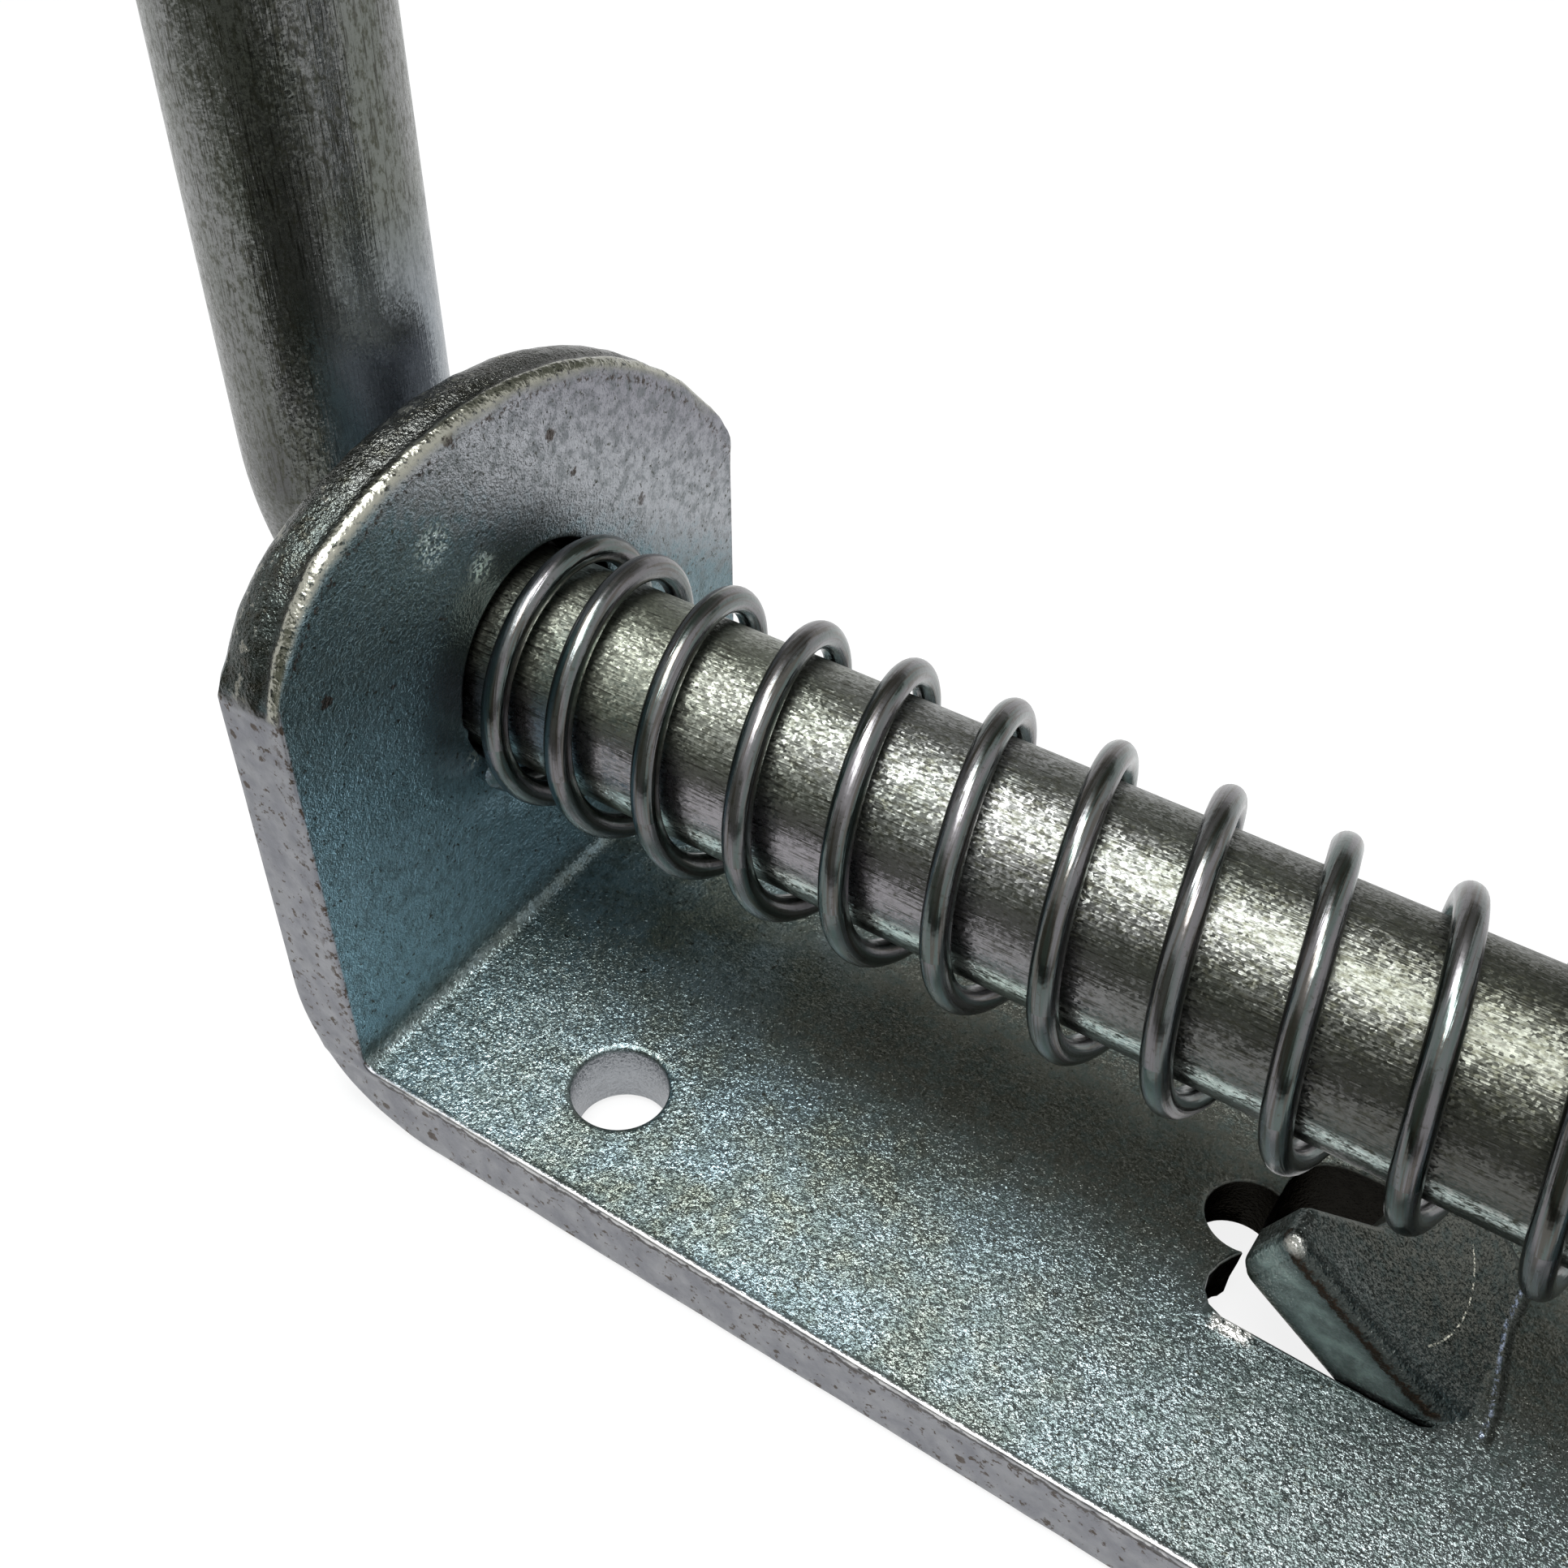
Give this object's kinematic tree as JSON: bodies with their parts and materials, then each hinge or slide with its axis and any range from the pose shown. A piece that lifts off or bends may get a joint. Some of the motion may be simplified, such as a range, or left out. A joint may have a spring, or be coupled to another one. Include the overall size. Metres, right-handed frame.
{
  "type": "spring bolt",
  "caption": "Spring-loaded sliding bolt on a folded steel strap: pull back the bent handle and turn it to hook the cross pin behind the raised tongue.",
  "frame": {"origin": "the middle of the four screw holes, on the face that the strap is screwed down by", "axes": "+X along the bar from the handle to the bolt's free end, +Y across the strap, +Z away from the surface under it"},
  "size_m": [0.1811, 0.05, 0.1043],
  "materials": {
    "plated_strap": "zinc plated, grainy",
    "plated_bar": "zinc plated, bright with fine scratches",
    "spring_wire": "zinc plated, bright and smooth"
  },
  "bodies": {
    "bracket": {"bracket": "plated_strap", "spring": "spring_wire"},
    "pusher": {"washer": "plated_bar"},
    "bolt": {"bolt": "plated_bar", "cross_pin": "plated_bar"}
  },
  "joints": [
    {"name": "bolt_slide", "type": "slide", "parent": "bracket", "child": "pusher", "axis": [-1, 0, 0], "range_m": [0, 0.0385], "stiffness_N_per_m": 2000, "springref_m": -0.01, "deforming": ["spring"]},
    {"name": "handle_turn", "type": "hinge", "parent": "pusher", "child": "bolt", "pos_m": [0, 0, 0.0293], "axis": [-1, 0, 0], "range_deg": [-90, 90]}
  ]
}
